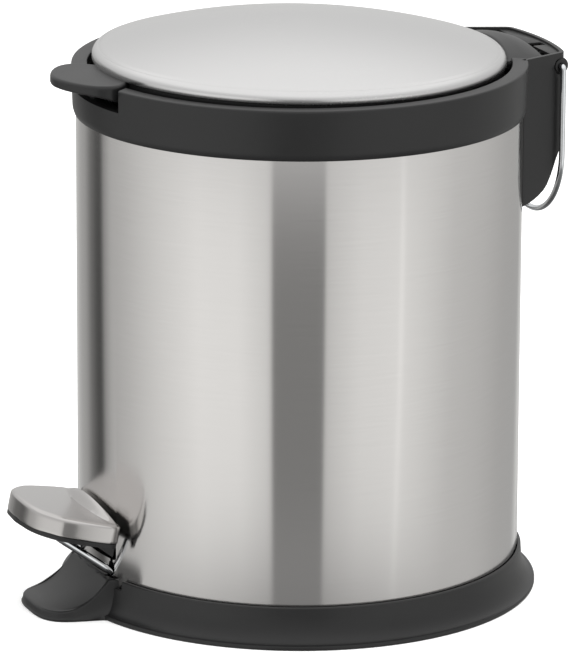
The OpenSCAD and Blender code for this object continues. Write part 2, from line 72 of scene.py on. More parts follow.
AZIMUTH, ELEVATION = math.radians(67.0), math.radians(15.24)
TARGET, DISTANCE = Vector((0, 0, 0.125)), 2.584
ROLL = math.radians(0.29)
SENSOR, LENS = 36.0, 306.1
SHIFT_X, SHIFT_Y = -0.0199, -0.0161


def add_camera():
    data = bpy.data.cameras.new("camera")
    data.sensor_width, data.lens = SENSOR, LENS
    data.shift_x, data.shift_y = SHIFT_X, SHIFT_Y
    data.clip_end = 50
    cam = bpy.data.objects.new("camera", data)
    bpy.context.scene.collection.objects.link(cam)
    level = math.cos(ELEVATION)
    out = Vector((math.sin(AZIMUTH) * level, -math.cos(AZIMUTH) * level, math.sin(ELEVATION)))
    right = (-out).cross(Vector((0, 0, 1))).normalized()
    up = right.cross(-out)
    right, up = (right * math.cos(ROLL) + up * math.sin(ROLL),
                 up * math.cos(ROLL) - right * math.sin(ROLL))
    m = Matrix((right, up, out)).transposed().to_4x4()
    m.translation = TARGET + out * DISTANCE
    cam.matrix_world = m
    bpy.context.scene.camera = cam


add_camera()

# ---------------------------------------------------------------- materials


class Nodes:
    """A material's node tree, with short calls to add and link nodes."""

    def __init__(self, name):
        self.mat = bpy.data.materials.new(name)
        self.mat.use_nodes = True
        self.tree = self.mat.node_tree
        self.shader = self.tree.nodes["Principled BSDF"]

    def new(self, kind, **settings):
        node = self.tree.nodes.new("ShaderNode" + kind)
        for key, value in settings.items():
            setattr(node, key, value)
        return node

    def put(self, socket, value):
        if isinstance(value, bpy.types.NodeSocket):
            self.tree.links.new(value, socket)
        else:
            socket.default_value = value

    def noise(self, scale, detail=3.0, rough=0.55, turn=(0, 0, 0)):
        """Noise of the object's own coordinates, with a scale along each axis in features per metre."""
        coords = self.new("TexCoord")
        mapping = self.new("Mapping")
        mapping.inputs["Scale"].default_value = scale
        mapping.inputs["Rotation"].default_value = turn
        noise = self.new("TexNoise")
        noise.inputs["Scale"].default_value = 1.0
        noise.inputs["Detail"].default_value = detail
        noise.inputs["Roughness"].default_value = rough
        self.put(mapping.inputs["Vector"], coords.outputs["Object"])
        self.put(noise.inputs["Vector"], mapping.outputs["Vector"])
        return noise.outputs["Fac"]

    def span(self, value, low, high, at=(0.3, 0.7)):
        ranger = self.new("MapRange")
        for socket, x in zip(ranger.inputs[1:5], (*at, low, high)):
            socket.default_value = x
        self.put(ranger.inputs["Value"], value)
        return ranger.outputs["Result"]

    def maths(self, operation, a, b):
        node = self.new("Math", operation=operation)
        self.put(node.inputs[0], a)
        self.put(node.inputs[1], b)
        return node.outputs[0]

    def colour(self, value, low, high, at=(0.3, 0.7)):
        ramp = self.new("ValToRGB")
        for stop, place, rgb in zip(ramp.color_ramp.elements, at, (low, high)):
            stop.position, stop.color = place, (*rgb, 1)
        self.put(ramp.inputs["Fac"], value)
        self.put(self.shader.inputs["Base Color"], ramp.outputs["Color"])

    def bump(self, height, strength, distance):
        node = self.new("Bump")
        node.inputs["Strength"].default_value = strength
        node.inputs["Distance"].default_value = distance
        self.put(node.inputs["Height"], height)
        self.put(self.shader.inputs["Normal"], node.outputs["Normal"])

    def set(self, **values):
        for key, value in values.items():
            self.put(self.shader.inputs[key.replace("_", " ")], value)


def brushed(name, scale, low, high, rough, bump=0.12, turn=(0, 0, 0), stretch=0.0):
    """Satin steel: fine parallel scratches, with faint broad marks from handling."""
    n = Nodes(name)
    lines = n.noise(scale, detail=4.0, rough=0.7, turn=turn)
    broad = n.noise((9, 9, 9), detail=2.0)
    mix = n.maths("ADD", n.maths("MULTIPLY", lines, 0.75), n.maths("MULTIPLY", broad, 0.25))
    n.colour(mix, low, high, at=(0.32, 0.68))
    n.put(n.shader.inputs["Roughness"], n.span(mix, rough[0], rough[1]))
    n.bump(lines, bump, 0.00004)
    n.set(Metallic=1.0)
    if stretch:
        tangent = n.new("Tangent", direction_type="RADIAL", axis="Z")
        n.put(n.shader.inputs["Tangent"], tangent.outputs["Tangent"])
        n.set(Anisotropic=stretch, Anisotropic_Rotation=0.25)
    return n.mat


def moulded(name, low, high, rough, grain=2600, bump=0.25, specular=0.5):
    """Moulded plastic with a fine spark-eroded grain."""
    n = Nodes(name)
    fine = n.noise((grain,) * 3, detail=2.0, rough=0.6)
    broad = n.noise((30, 30, 30), detail=3.0)
    mix = n.maths("ADD", n.maths("MULTIPLY", fine, 0.55), n.maths("MULTIPLY", broad, 0.45))
    n.colour(mix, low, high)
    n.put(n.shader.inputs["Roughness"], n.span(mix, rough[0], rough[1]))
    n.bump(fine, bump, 0.00006)
    n.set(Specular_IOR_Level=specular)
    return n.mat


def polished(name, tint, rough):
    """Bright wire: chrome with faint drawing marks."""
    n = Nodes(name)
    marks = n.noise((350, 350, 350), detail=3.0)
    n.colour(marks, tuple(c * 0.9 for c in tint), tint)
    n.put(n.shader.inputs["Roughness"], n.span(marks, rough[0], rough[1]))
    n.bump(marks, 0.05, 0.00003)
    n.set(Metallic=1.0)
    return n.mat


STEEL = brushed("steel_body", (45, 45, 5200), (0.655, 0.640, 0.630), (0.700, 0.685, 0.675),
                (0.13, 0.16), bump=0.015, stretch=0.92)
STEEL_LID = brushed("steel_lid", (3400, 420, 1800), (0.655, 0.65, 0.65), (0.685, 0.68, 0.68),
                    (0.24, 0.28), bump=0.02, turn=(0, 0, math.radians(35)))
STEEL_PEDAL = brushed("steel_pedal", (260, 5200, 5200), (0.50, 0.485, 0.475), (0.55, 0.535, 0.525),
                      (0.19, 0.23), bump=0.015)
BLACK = moulded("black_plastic", (0.0070, 0.0070, 0.0072), (0.0115, 0.0115, 0.0118), (0.36, 0.44),
                bump=0.12, specular=0.42)
GREY = moulded("grey_plastic", (0.10, 0.10, 0.105), (0.14, 0.14, 0.145), (0.45, 0.6), grain=1800)
RUBBER = moulded("rubber", (0.012, 0.012, 0.012), (0.022, 0.022, 0.022), (0.7, 0.85), grain=1500)
CHROME = polished("chrome", (0.80, 0.82, 0.84), (0.04, 0.09))
ZINC = polished("zinc", (0.62, 0.64, 0.66), (0.22, 0.36))

# ---------------------------------------------------------------- mesh helpers


def new_object(name, verts, faces, mat):
    mesh = bpy.data.meshes.new(name)
    mesh.from_pydata([tuple(c * MM for c in v) for v in verts], [], faces)
    obj = bpy.data.objects.new(name, mesh)
    bpy.context.scene.collection.objects.link(obj)
    mesh.materials.append(mat)
    tidy(obj)
    return obj


MERGE = 0.0004


def tidy(obj):
    """Joins points that coincide, drops flat faces and turns every face outwards."""
    bm = bmesh.new()
    bm.from_mesh(obj.data)
    bmesh.ops.remove_doubles(bm, verts=bm.verts, dist=MERGE * MM)
    bmesh.ops.dissolve_degenerate(bm, edges=bm.edges, dist=MERGE * MM)
    bmesh.ops.recalc_face_normals(bm, faces=bm.faces)
    bm.to_mesh(obj.data)
    bm.free()


def settle(obj):
    """Applies the object's modifiers to its mesh."""
    mat = obj.data.materials[0]
    graph = bpy.context.evaluated_depsgraph_get()
    graph.update()
    done = bpy.data.meshes.new_from_object(obj.evaluated_get(graph))
    obj.modifiers.clear()
    old, obj.data = obj.data, done
    bpy.data.meshes.remove(old)
    done.materials.clear()
    done.materials.append(mat)
    for face in done.polygons:
        face.material_index = 0


def cut(obj, *cutters):
    """Takes the cutters away from a mesh, and removes them."""
    for cutter in cutters:
        mod = obj.modifiers.new("cut", "BOOLEAN")
        mod.operation, mod.object, mod.solver = "DIFFERENCE", cutter, "EXACT"
        settle(obj)
        bpy.data.objects.remove(cutter)
    tidy(obj)


def bevel(obj, width, segments=3, angle=38):
    """Rounds the edges sharper than an angle in degrees."""
    mod = obj.modifiers.new("bevel", "BEVEL")
    mod.width, mod.segments, mod.limit_method = width * MM, segments, "ANGLE"
    mod.angle_limit = math.radians(angle)
    mod.use_clamp_overlap = True
    settle(obj)


def claim(obj, body, slot, *nodes, angle=32):
    """Shades a finished piece, puts it on its body and hides the CAD nodes it replaces; slot is not used."""
    obj.data.shade_smooth()
    obj.data.set_sharp_from_angle(angle=math.radians(angle))
    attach(obj, body)
    if nodes:
        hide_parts(*nodes)


def fillet(points, radii, steps=4):
    """Rounds the corners of a closed outline; radii is one number or one per corner."""
    out, n = [], len(points)
    for i, p in enumerate(points):
        r = radii if isinstance(radii, (int, float)) else radii[i]
        a, b = points[i - 1], points[(i + 1) % n]
        la, lb = math.dist(p, a), math.dist(p, b)
        c = min(r, la * 0.49, lb * 0.49)
        if c < 1e-3:
            out.append(p)
            continue
        pa = [p[k] + (a[k] - p[k]) * c / la for k in (0, 1)]
        pb = [p[k] + (b[k] - p[k]) * c / lb for k in (0, 1)]
        for s in range(steps + 1):
            t = s / steps
            out.append(tuple(pa[k] * (1 - t) ** 2 + 2 * p[k] * t * (1 - t) + pb[k] * t * t
                             for k in (0, 1)))
    return out


def lathe(name, outline, mat, segments=288):
    """Turns a closed outline of (radius, height) round the Z axis."""
    n = len(outline)
    verts = [(r * math.cos(TAU * k / segments), r * math.sin(TAU * k / segments), z)
             for k in range(segments) for r, z in outline]
    faces = []
    for k in range(segments):
        here, there = k * n, (k + 1) % segments * n
        faces += [(here + i, there + i, there + (i + 1) % n, here + (i + 1) % n) for i in range(n)]
    return new_object(name, verts, faces, mat)


def prism(name, outline, low, high, mat, place=lambda x, y, z: (x, y, z)):
    """A closed outline of (x, y) pushed from one height to another, then placed."""
    n = len(outline)
    verts = [place(x, y, z) for z in (low, high) for x, y in outline]
    faces = [tuple(range(n)), tuple(range(n, 2 * n))]
    faces += [(i, (i + 1) % n, n + (i + 1) % n, n + i) for i in range(n)]
    return new_object(name, verts, faces, mat)


def arc(cx, cy, r, a0, a1, steps):
    """Points round a centre from one angle to another, in degrees."""
    return [(cx + r * math.cos(math.radians(a0 + (a1 - a0) * i / steps)),
             cy + r * math.sin(math.radians(a0 + (a1 - a0) * i / steps))) for i in range(steps + 1)]


def spline(points, count):
    """A smooth line through points, sampled evenly."""
    pts = [2 * Vector(points[0]) - Vector(points[1])] + [Vector(p) for p in points]
    pts.append(2 * pts[-1] - pts[-2])
    dense = []
    for i in range(1, len(pts) - 2):
        p0, p1, p2, p3 = pts[i - 1:i + 3]
        for s in range(24):
            t = s / 24
            dense.append(0.5 * ((2 * p1) + (p2 - p0) * t + (2 * p0 - 5 * p1 + 4 * p2 - p3) * t * t
                                + (3 * p1 - p0 - 3 * p2 + p3) * t ** 3))
    dense.append(pts[-2])
    length = [0.0]
    for a, b in zip(dense, dense[1:]):
        length.append(length[-1] + (b - a).length)
    out, j = [], 0
    for i in range(count + 1):
        want = length[-1] * i / count
        while j < len(length) - 2 and length[j + 1] < want:
            j += 1
        f = (want - length[j]) / max(length[j + 1] - length[j], 1e-9)
        out.append(tuple(dense[j].lerp(dense[j + 1], f)))
    return out


def tube(name, route, radius, mat, closed=False):
    """Round wire along a route."""
    curve = bpy.data.curves.new(name, "CURVE")
    curve.dimensions = "3D"
    line = curve.splines.new("POLY")
    line.points.add(len(route) - 1)
    for point, place in zip(line.points, route):
        point.co = (*[c * MM for c in place], 1)
    line.use_cyclic_u = closed
    curve.bevel_depth, curve.bevel_resolution = radius * MM, 5
    curve.use_fill_caps = not closed
    curve.twist_mode = "MINIMUM"
    obj = bpy.data.objects.new(name, curve)
    bpy.context.scene.collection.objects.link(obj)
    graph = bpy.context.evaluated_depsgraph_get()
    graph.update()
    mesh = bpy.data.meshes.new_from_object(obj.evaluated_get(graph))
    bpy.data.objects.remove(obj)
    done = bpy.data.objects.new(name, mesh)
    bpy.context.scene.collection.objects.link(done)
    mesh.materials.clear()
    mesh.materials.append(mat)
    tidy(done)
    return done


def bend(points, cut_at, steps=8):
    """Rounds the corners of a route in space; cut_at is one length per corner, 0 for none."""
    out, n = [], len(points)
    for i, p in enumerate(points):
        p, c = Vector(p), cut_at[i]
        if c == 0:
            out.append(tuple(p))
            continue
        a, b = Vector(points[i - 1]), Vector(points[(i + 1) % n])
        pa, pb = p + (a - p).normalized() * c, p + (b - p).normalized() * c
        for s in range(steps + 1):
            t = s / steps
            out.append(tuple(pa * (1 - t) ** 2 + p * 2 * t * (1 - t) + pb * t * t))
    return out


def join(first, *others):
    """Joins meshes into the first object."""
    bm = bmesh.new()
    for obj in (first, *others):
        bm.from_mesh(obj.data)
    bm.to_mesh(first.data)
    bm.free()
    for obj in others:
        bpy.data.objects.remove(obj)
    return first


def plate(name, front, back, top, bottom, mat, rows, low_edge, high_edge, place=None):
    """A solid between two lines of (x, y) points, with its own top and bottom heights at each point.

    The outline is the front line and the back line joined. The lower edge is chamfered and the upper
    one rounded; rows is the number of faces across the top and the bottom."""
    loop = front + back[::-1]
    n, m = len(loop), len(front)
    normal = []
    for i, p in enumerate(loop):
        a, b = loop[i - 1], loop[(i + 1) % n]
        d = Vector((b[0] - a[0], b[1] - a[1])).normalized()
        normal.append(Vector((-d[1], d[0])))
    area = sum(a[0] * b[1] - a[1] * b[0] for a, b in zip(loop, loop[1:] + loop[:1]))
    flip = 1 if area > 0 else -1
    levels = [("low", low_edge, 0.0), ("low", low_edge * 0.3, low_edge * 0.3), ("low", 0.0, low_edge)]
    levels += [("mid", 0.0, t / 6) for t in range(1, 6)]
    for s in range(6):
        a = math.radians(90 * s / 5)
        levels.append(("high", high_edge * (1 - math.cos(a)), high_edge * (1 - math.sin(a))))
    verts, faces = [], []
    for kind, inset, value in levels:
        for i, (x, y) in enumerate(loop):
            lo, hi = bottom(x, y), top(x, y)
            edge = min(high_edge, (hi - lo) * 0.45)
            if kind == "low":
                z, d = lo + value, inset
            elif kind == "mid":
                z, d = lo + low_edge + (hi - edge - lo - low_edge) * value, inset
            else:
                z, d = hi - value * edge / high_edge, inset
            px, py = x + normal[i][0] * d * flip, y + normal[i][1] * d * flip
            if kind == "high":
                z += top(px, py) - hi
            verts.append((px, py, z))
    k = len(levels)
    for j in range(k - 1):
        here, there = j * n, (j + 1) * n
        faces += [(here + i, here + (i + 1) % n, there + (i + 1) % n, there + i) for i in range(n)]

    def cover(level, height):
        base = level * n
        grid = []
        for i in range(m):
            a, b = base + i, base + n - 1 - i
            row = [a]
            for r in range(1, rows):
                t = r / rows
                x, y = (verts[a][c] * (1 - t) + verts[b][c] * t for c in (0, 1))
                row.append(len(verts))
                verts.append((x, y, height(x, y)))
            grid.append(row + [b])
        for i in range(m - 1):
            for r in range(rows):
                faces.append((grid[i][r], grid[i + 1][r], grid[i + 1][r + 1], grid[i][r + 1]))

    cover(k - 1, top)
    cover(0, bottom)
    if place:
        verts = [place(*v) for v in verts]
    return new_object(name, verts, faces, mat)


def in_lid(x, y, z):
    """From the lid modelled level to where it rests, a little proud at the front."""
    hinge = Vector((0, HINGE_Y, HINGE_Z))
    return tuple(Matrix.Rotation(-LID_REST, 3, "X") @ (Vector((x, y, z)) - hinge) + hinge)


def in_pedal(x, y, z):
    """From the pedal's own level frame to its tilted place."""
    return tuple(Matrix.Rotation(-PEDAL_TILT, 3, "X") @ Vector((x, y, z)) + PEDAL_ORIGIN)


def side_on(x, y, z):
    """Turns a prism so that its outline is (y, z) and it runs along x."""
    return z, x, y


def front_on(x, y, z):
    """Turns a prism so that its outline is (x, z) and it runs along y."""
    return x, z, y


def mirrored(half):
    """A line of (x, y) points that ends on the middle, and the same line back on the other side."""
    return half + [(-x, y) for x, y in half[-2::-1]]


def even_line(half, count):
    """A smooth line of (x, y) points, alike on both sides of the middle, sampled evenly."""
    line = [(x, y, 0) for x, y in mirrored([(-x, y) for x, y in half])]
    return [(x, y) for x, y, _ in spline(line, count)]


def rectangle(x0, x1, y0, y1):
    return [(x0, y0), (x1, y0), (x1, y1), (x0, y1)]


def placed(obj, place):
    """Moves every point of a mesh by a function of (x, y, z) in millimetres."""
    for v in obj.data.vertices:
        v.co = Vector(place(*[c / MM for c in v.co])) * MM
    return obj


# ---------------------------------------------------------------- steel body


def make_body():
    wall = [(BODY_IN, BODY_LOW), (BODY_R, BODY_LOW), (BODY_R, BODY_HIGH), (BODY_IN, BODY_HIGH)]
    body = lathe("body_sheet", fillet(wall, 0.12, 2), STEEL, 360)
    window = fillet(rectangle(-23.3, 23.3, 25.8, 44.0), 2.5)
    cutters = [prism("cut", window, -110, -90, STEEL, front_on)]
    # Keyholes for the lever's wires: a round-ended hole with a neck up to the window
    low, high, r, neck, top = 20.3, 22.6, 2.5, 1.1, 27.0
    for s in (-1, 1):
        x = s * WIRE_X
        hole = arc(x, low, r, -180, 0, 12) + [(x + r, high)] + arc(x, high, r, 20, 64, 5)
        hole += [(x + neck, top), (x - neck, top)] + arc(x, high, r, 116, 160, 5)
        cutters.append(prism("cut", hole, -110, -90, STEEL, front_on))
    cutters.append(prism("cut", rectangle(-16, 16, 205, 245), 90, 110, STEEL, front_on))
    cut(body, *cutters)
    claim(body, "can", "brushed_steel", "body_shell", angle=30)


# ---------------------------------------------------------------- rim collar with the hinge housing


HOUSE_CORNER, CORNER_FROM, CORNER_TO = (25.9, 115.6), 21.7, 77.4  # its centre, and its arc in degrees
HOUSE_REAR = 123.5

# The housing's underside: (radius, height) from the body out to its rear face
SWEEP = [(102.6, 178.2), (105.0, 178.9), (107.8, 180.0), (110.5, 181.6), (113.2, 183.7),
         (115.4, 186.6), (117.6, 191.6), (119.5, 197.0), (121.5, 201.5), (123.1, 205.5),
         (123.6, 209.0)]


def house_side(y):
    """Half of the housing's width, which narrows to the rear."""
    return 37.5 - 0.398 * (y - 99.4)


def house_outline():
    x, y = HOUSE_CORNER
    start, end = (house_side(95.05), 95.05), (x + 4.645, y + 1.85)
    half = [tuple(start[k] + (end[k] - start[k]) * i / 12 for k in (0, 1)) for i in range(12)]
    half += arc(x, y, 5, CORNER_FROM, CORNER_TO, 12)
    half += arc(0, 0, HOUSE_REAR, CORNER_TO, 90, 10)[1:]
    return mirrored(half)


def sweep_z(r):
    for (r0, z0), (r1, z1) in zip(SWEEP, SWEEP[1:]):
        if r <= r1:
            return z0 + (z1 - z0) * (r - r0) / (r1 - r0)
    return SWEEP[-1][1]


def make_housing():
    """The housing's walls and underside in one skin, thickened inwards."""
    rows_up, rows_in, thickness = 8, 18, 2.0
    verts, faces = [], []
    outline = house_outline()
    for x, y in outline:
        r = math.hypot(x, y)
        low = sweep_z(r)
        verts += [(x, y, RIM_TOP + (low - RIM_TOP) * j / rows_up) for j in range(rows_up + 1)]
        for j in range(1, rows_in + 1):
            at = SWEEP[0][0] + (r - SWEEP[0][0]) * (1 - j / rows_in)
            verts.append((x * at / r, y * at / r, sweep_z(at)))
    n = rows_up + rows_in + 1
    for i in range(len(outline) - 1):
        faces += [(i * n + j, (i + 1) * n + j, (i + 1) * n + j + 1, i * n + j + 1) for j in range(n - 1)]
    housing = new_object("housing", verts, faces, BLACK)
    middle = housing.data.polygons[len(housing.data.polygons) // 2]
    mod = housing.modifiers.new("wall", "SOLIDIFY")
    outward = middle.normal.dot(Vector((middle.center.x, middle.center.y, 0))) > 0
    mod.thickness, mod.offset, mod.use_even_offset = thickness * MM, (-1 if outward else 1), True
    settle(housing)
    hole = arc(HINGE_Y, HINGE_Z, 4.0, 0, 348, 28)
    cut(housing, *[prism("cut", hole, s * 24, s * 40, BLACK, side_on) for s in (-1, 1)])
    bevel(housing, 0.7, 3, 40)
    return housing


def make_collar():
    line = [(102.7, 224.3), (103.2, 224.3), (104.0, 226.6), (104.5, 245.0), (104.45, RIM_TOP),
            (97.0, RIM_TOP), (97.0, 233.2), (93.6, 233.2), (93.6, 230.2), (97.0, 229.2), (97.0, 222.0),
            (98.6, 222.0), (98.6, 228.0), (101.7, 228.0), (101.7, 236.8), (102.7, 236.8)]
    radii = [0, 0.3, 1.2, 1.0, 1.3, 0.9, 0.4, 0.4, 0.4, 0.4, 0.3, 0.3, 0.3, 0.3, 0.3, 0.3]
    collar = lathe("collar", fillet(line, radii), BLACK, 288)
    notch = [(s * (20 + (f - 89.8) * 0.883), -f) for s, f in ((-1, 85), (-1, 112), (1, 112), (1, 85))]
    rear = [(-31.2, 88), (31.2, 88), (31.2, 92.4), (33.6, 94.4), (36.2, 97.6), (33.5, 112),
            (-33.5, 112), (-36.2, 97.6), (-33.6, 94.4), (-31.2, 92.4)]
    cut(collar, prism("cut", fillet(notch, [0.5, 0, 0, 0.5]), 237.0, 260.0, BLACK),
        prism("cut", rear, 236.0, 260.0, BLACK),
        prism("cut", rectangle(-16, 16, 88, 110), 215.0, 240.0, BLACK))
    bevel(collar, 0.55, 3, 45)
    pieces = [make_housing()]
    for s in (-1, 1):
        web = [(114.1, 195), (115.4, 198.5), (117.4, 205), (118.9, 212), (118.9, 241)]
        web += arc(HINGE_Y, HINGE_Z, 3.4, 60, 180, 12)
        pieces.append(prism("web", web, s * 22.5, s * 24.9, BLACK, side_on))
        bevel(pieces[-1], 0.3, 2)
    shelf = fillet(rectangle(-12, 12, 97, 120.3), 1.0)
    pieces.append(prism("shelf", shelf, 207.0, 209.4, BLACK))
    bevel(pieces[-1], 0.3, 2)
    pieces.append(make_deck())
    for s in (-1, 1):
        boss = arc(s * 22, 198, 3.6, 0, 348, 28)
        pieces.append(prism("boss", boss, 101.8, 116.0, BLACK, front_on))
    join(collar, *pieces)
    claim(collar, "can", "black_plastic", "rim_collar")


def make_deck():
    """Closes the housing behind the lid's tail, with a slot for the crank."""
    near, gap = 113.7, 1.0
    half = [(house_side(near) - 1.1, near)]
    half += arc(*HOUSE_CORNER, 5 - gap, CORNER_FROM, CORNER_TO, 8)
    half += arc(0, 0, HOUSE_REAR - gap, CORNER_TO, 90, 6)[1:]
    deck = prism("deck", mirrored(half), 244.9, 246.3, BLACK)
    cut(deck, prism("cut", rectangle(2.6, 8.4, 112, 120.2), 240, 250, BLACK))
    bevel(deck, 0.3, 2)
    return deck


def make_bushes():
    line = fillet([(1.5, 27.0), (4.0, 27.0), (4.0, 30.2), (3.2, 30.2), (3.2, 31.2), (1.5, 31.2)],
                  [0.2, 0.2, 0.2, 0.2, 0.5, 0.4])
    bushes = []
    for s in (-1, 1):
        bush = lathe("bush", line, BLACK, 48)
        bushes.append(placed(bush, lambda x, y, z: (s * z, HINGE_Y + x, HINGE_Z + y)))
        tidy(bush)  # one of the two is a mirror image, so its faces are turned outwards again
    pair = join(*bushes)
    pair.name = "handle_bushes"
    claim(pair, "can", "black_plastic", "bail_bushes")


# ---------------------------------------------------------------- base


FOOT_ROOT, FOOT_HALF_ANGLE = 103.6, 15.2  # where the foot's top ends, round the body


def foot_top(x, y):
    """Height of the foot's top: level at the tip, then a hollow sweep up to the body."""
    sweep_r, tip, start, root = 28.6, 4.4, -128.0, 17.6
    crown = 0.35 * max(0.0, 1 - (x / 22.0) ** 2)
    if y <= start:
        return tip + crown
    return min(root, tip + crown + sweep_r - math.sqrt(max(sweep_r ** 2 - (y - start) ** 2, 0)))


def foot_draw(h):
    """How far the foot's wall has drawn in at a height: a hollow that follows the base's flare."""
    low, rise, reach = 1.2, 16.0, 6.2
    if h <= low:
        return 0.0
    c = 1 - min((h - low) / rise, 1.0)
    return reach * math.sqrt(max(0.0, 1 - c * c))


def foot_back(t):
    """The line round the body on which the foot's top ends, just inside the base's flare."""
    a = math.radians(FOOT_HALF_ANGLE * t)
    return FOOT_ROOT * math.sin(a), -FOOT_ROOT * math.cos(a)


def tipward(y):
    """0 at the foot's root, 1 near its tip."""
    return min(max((-y - 106.0) / 16.0, 0.0), 1.0)


def make_foot():
    """The foot in one piece: its outline runs from the base round the tip and back to the base."""
    across, steps, up, edge_r = 40, 72, 9, 1.2
    half = [(31.6, -100.5), (30.2, -106.0), (28.5, -110.5), (26.7, -118.4), (24.6, -125.5),
            (21.2, -130.9), (15.5, -134.4), (8.0, -135.8), (0, -136.0)]
    # Slimmer and a little to +x at the tip
    rim = [(x * (1 - 0.09 * tipward(y)) + 2.6 * tipward(y), y * 0.992)
           for x, y in even_line(half, steps)]
    normals = []
    for i, (x, y) in enumerate(rim):
        a, b = rim[max(i - 1, 0)], rim[min(i + 1, steps)]
        d = Vector((b[0] - a[0], b[1] - a[1])).normalized()
        normals.append(Vector((-d[1], d[0])))
    levels = []
    for (x, y), (nx, ny) in zip(rim, normals):
        column = []
        wall = foot_top(x * 0.8, y + ny * 5.0) - edge_r
        hollow = 1 - 0.75 * tipward(y)
        for j in range(up + 1):
            h = wall * j / up
            d = 0.5 * (1 - min(h / 0.5, 1.0)) if h < 0.5 else foot_draw(h) * hollow
            column.append((x + nx * d, y + ny * d, h))
        for s in range(1, 6):
            a = math.radians(18 * s)
            d = foot_draw(wall) * hollow + edge_r * (1 - math.cos(a))
            column.append((x + nx * d, y + ny * d, wall + edge_r * math.sin(a)))
        levels.append(column)
    k = len(levels[0])
    verts = [v for column in levels for v in column]
    faces = [(i * k + j, (i + 1) * k + j, (i + 1) * k + j + 1, i * k + j + 1)
             for i in range(steps) for j in range(k - 1)]
    back = len(verts)
    for i in range(steps + 1):
        x0, y0, z0 = levels[i][-1]
        bx, by = foot_back(-1 + 2 * i / steps)
        for r in range(1, across + 1):
            t = r / across
            x, y = x0 + (bx - x0) * t, y0 + (by - y0) * t
            blend = min(1.0, t * 6)
            verts.append((x, y, z0 * (1 - blend) + foot_top(x, y) * blend))
    for i in range(steps):
        for r in range(across):
            a = i * k + k - 1 if r == 0 else back + i * across + r - 1
            b = (i + 1) * k + k - 1 if r == 0 else back + (i + 1) * across + r - 1
            faces.append((a, b, back + (i + 1) * across + r, back + i * across + r))
    faces.append(tuple(i * k for i in range(steps + 1)))
    return new_object("foot", verts, faces, BLACK)


def make_base():
    lip = [(102.85, 13.0), (102.85, 18.1), (103.9, 18.1), (104.3, 17.7)]
    flare = [(110.7 - 6.3 * math.sin(math.radians(a)), 2.0 + 14.6 * (1 - math.cos(math.radians(a))))
             for a in range(84, -1, -7)]
    outer = [(110.9, 1.6), (110.9, 0.5), (110.5, 0.0)]
    under = [(98.4, 0.0), (97.9, 0.4), (96.9, 3.0), (0.0, 3.0), (0.0, 5.5), (98.9, 5.5), (98.9, 25.0),
             (101.6, 25.0), (101.6, 13.0)]
    base = lathe("base_moulding", lip + flare + outer + under, BLACK, 288)
    # Room for the wires, for the axle with its caps, and for the push rod: x, y, then z from and to
    boxes = []
    for s in (-1, 1):
        wire, cap = s * WIRE_X, s * 25.5
        boxes += [(wire - 2.6, wire + 2.6, -105.5, -89.5, 16.2, 46),
                  (wire - 2.6, wire + 2.6, -101.8, -85.8, 6.1, 36),
                  (cap - 4.9, cap + 4.9, -101.8, -89.8, 13.6, 46)]
    boxes.append((-9, 9, 94.9, 102.3, 5.8, 46))
    cut(base, *[prism("cut", rectangle(*box[:4]), *box[4:], BLACK) for box in boxes])
    pieces = [make_foot()]
    saddle = [(-96.2, 5.0), (-75.2, 5.0), (-75.2, 13.8), (-83.0, 13.8), (-83.0, 8.5), (-87.0, 8.5),
              (-87.0, 13.8), (-89.95, 13.8)]
    saddle += arc(PIVOT_Y, PIVOT_Z, 2.05, -15, -165, 10) + [(-94.05, 13.8), (-96.2, 13.8)]
    for s in (-1, 1):
        pieces.append(prism("saddle", saddle, s * 26 - 3, s * 26 + 3, BLACK, side_on))
        bevel(pieces[-1], 0.25, 2)
    line = [(8.1, 0.9), (9.6, 0.9), (10.0, 1.3), (10.0, 3.4), (0, 3.4), (0, 1.5), (8.1, 1.5)]
    for a in (45, 135, 225, 315):
        px, py = 86 * math.cos(math.radians(a)), 86 * math.sin(math.radians(a))
        pieces.append(placed(lathe("pad", line, BLACK, 64), lambda x, y, z: (x + px, y + py, z)))
    join(base, *pieces)
    claim(base, "can", "black_plastic", "base")


# ---------------------------------------------------------------- bucket


def make_bucket():
    line = [(0, 43.0), (80.5, 43.0), (82.0, 44.2), (84.1, 44.2), (92.0, 231.0), (92.3, 233.5),
            (95.8, 233.5), (95.8, 235.4), (95.0, 235.4), (90.5, 234.2), (82.6, 46.0), (80.5, 44.6),
            (0, 44.6)]
    radii = [0, 1.5, 0.6, 1.0, 1.0, 0.5, 0.7, 0.6, 0.4, 1.0, 2.5, 1.0, 0]
    bucket = lathe("bucket_moulding", fillet(line, radii), GREY, 240)
    cut(bucket, prism("cut", rectangle(-10, 10, 80, 100), 221, 241, GREY))  # for the lid's crank
    claim(bucket, "can", "grey_plastic", "bucket")


# ---------------------------------------------------------------- lid


